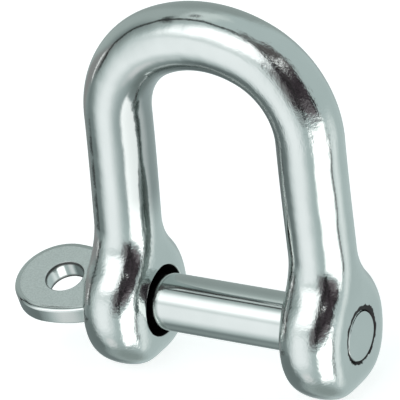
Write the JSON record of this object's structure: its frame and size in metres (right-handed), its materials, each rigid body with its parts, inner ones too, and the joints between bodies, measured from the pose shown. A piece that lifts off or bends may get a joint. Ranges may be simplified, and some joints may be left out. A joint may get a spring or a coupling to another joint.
{
  "type": "chain joining shackle",
  "caption": "D-shaped steel shackle for joining chain, with swelled eyes and a screw pin that has a round-ended tab with a hole for a spike or seizing wire.",
  "frame": {"origin": "middle of the pin's axis, halfway between the two eyes", "axes": "+X along the pin from its tab to its threaded end, +Z along the line of pull from the pin up to the crown, and the bow's plane is XZ"},
  "size_m": [0.0634, 0.0226, 0.0657],
  "materials": {
    "bow_steel": "polished stainless steel, with soft forging marks left in the shine",
    "pin_steel": "polished stainless steel shank, with a satin tab"
  },
  "bodies": {
    "bow": {"bow": "bow_steel"},
    "screw_pin": {"screw_pin": "pin_steel"}
  },
  "joints": [
    {"name": "pin_withdraw", "type": "slide", "parent": "bow", "child": "screw_pin", "axis": [-1, 0, 0], "range_m": [0, 0.05]}
  ]
}
